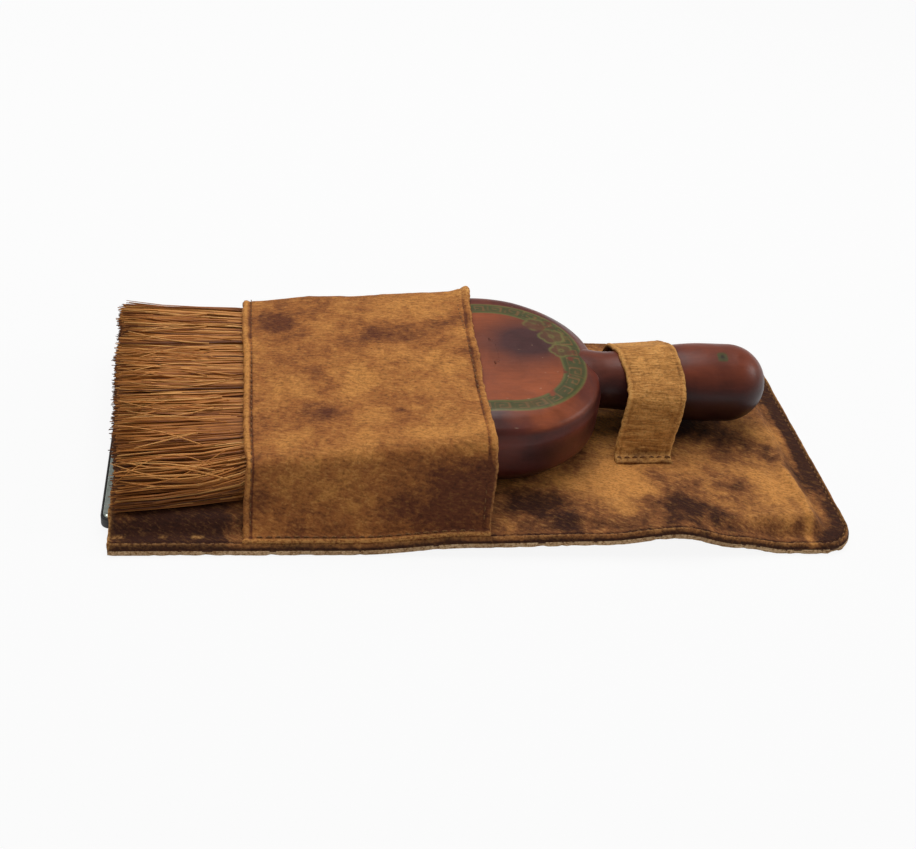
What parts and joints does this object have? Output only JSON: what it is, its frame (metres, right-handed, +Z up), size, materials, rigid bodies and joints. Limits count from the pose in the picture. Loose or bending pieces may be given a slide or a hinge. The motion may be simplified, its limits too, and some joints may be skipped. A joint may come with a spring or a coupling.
{
  "type": "whisk brush in a leather travel case",
  "caption": "Lacquered wooden whisk brush held under a leather band and a handle loop on a flat stitched leather case, with a rectangular mirror that slides out of the pocket.",
  "frame": {"origin": "centre of the whole footprint, on the surface the case lies on", "axes": "+X along the case from its open end (bristle tips) to its closed end (handle bulb), +Y across the case, +Z up"},
  "size_m": [0.257, 0.127, 0.0425],
  "materials": {
    "back_leather": "worn suede-like raw side",
    "case_leather": "distressed, matte with worn highlights",
    "band_leather": "distressed, matte with worn highlights",
    "loop_leather": "napped, matte",
    "thread": "waxed linen thread",
    "twine": "hemp twine",
    "mirror": "silvered glass",
    "board": "black paper-faced board",
    "edging": "black passe-partout strip",
    "lacquer": "satin lacquer, worn",
    "fibre": "natural broom fibre",
    "pitch": "set pitch",
    "brad": "plain"
  },
  "bodies": {
    "case": {"back_panel": "back_leather", "front_panel": "case_leather", "edge_thread": "thread", "brush_band": "band_leather", "band_hem_thread_left": "thread", "band_hem_thread_right": "thread", "band_seam_thread_near": "thread", "band_seam_thread_far": "thread", "handle_loop": "loop_leather", "loop_thread_near": "thread", "loop_thread_far": "thread"},
    "brush": {"brush_head": "lacquer", "handle": "lacquer", "bristles_upper": "fibre", "bristles_middle": "fibre", "bristles_lower": "fibre", "root_binding": "twine", "skirt_twine": "twine", "pitch_plug": "pitch", "head_brads": "brad"},
    "mirror": {"mirror_glass": "mirror", "mirror_board": "board", "mirror_edging": "edging"}
  },
  "joints": [
    {"name": "brush_slide", "type": "slide", "parent": "case", "child": "brush", "axis": [-1, 0, 0], "range_m": [0, 0.2]},
    {"name": "mirror_slide", "type": "slide", "parent": "case", "child": "mirror", "axis": [-1, 0, 0], "range_m": [0, 0.24]}
  ]
}
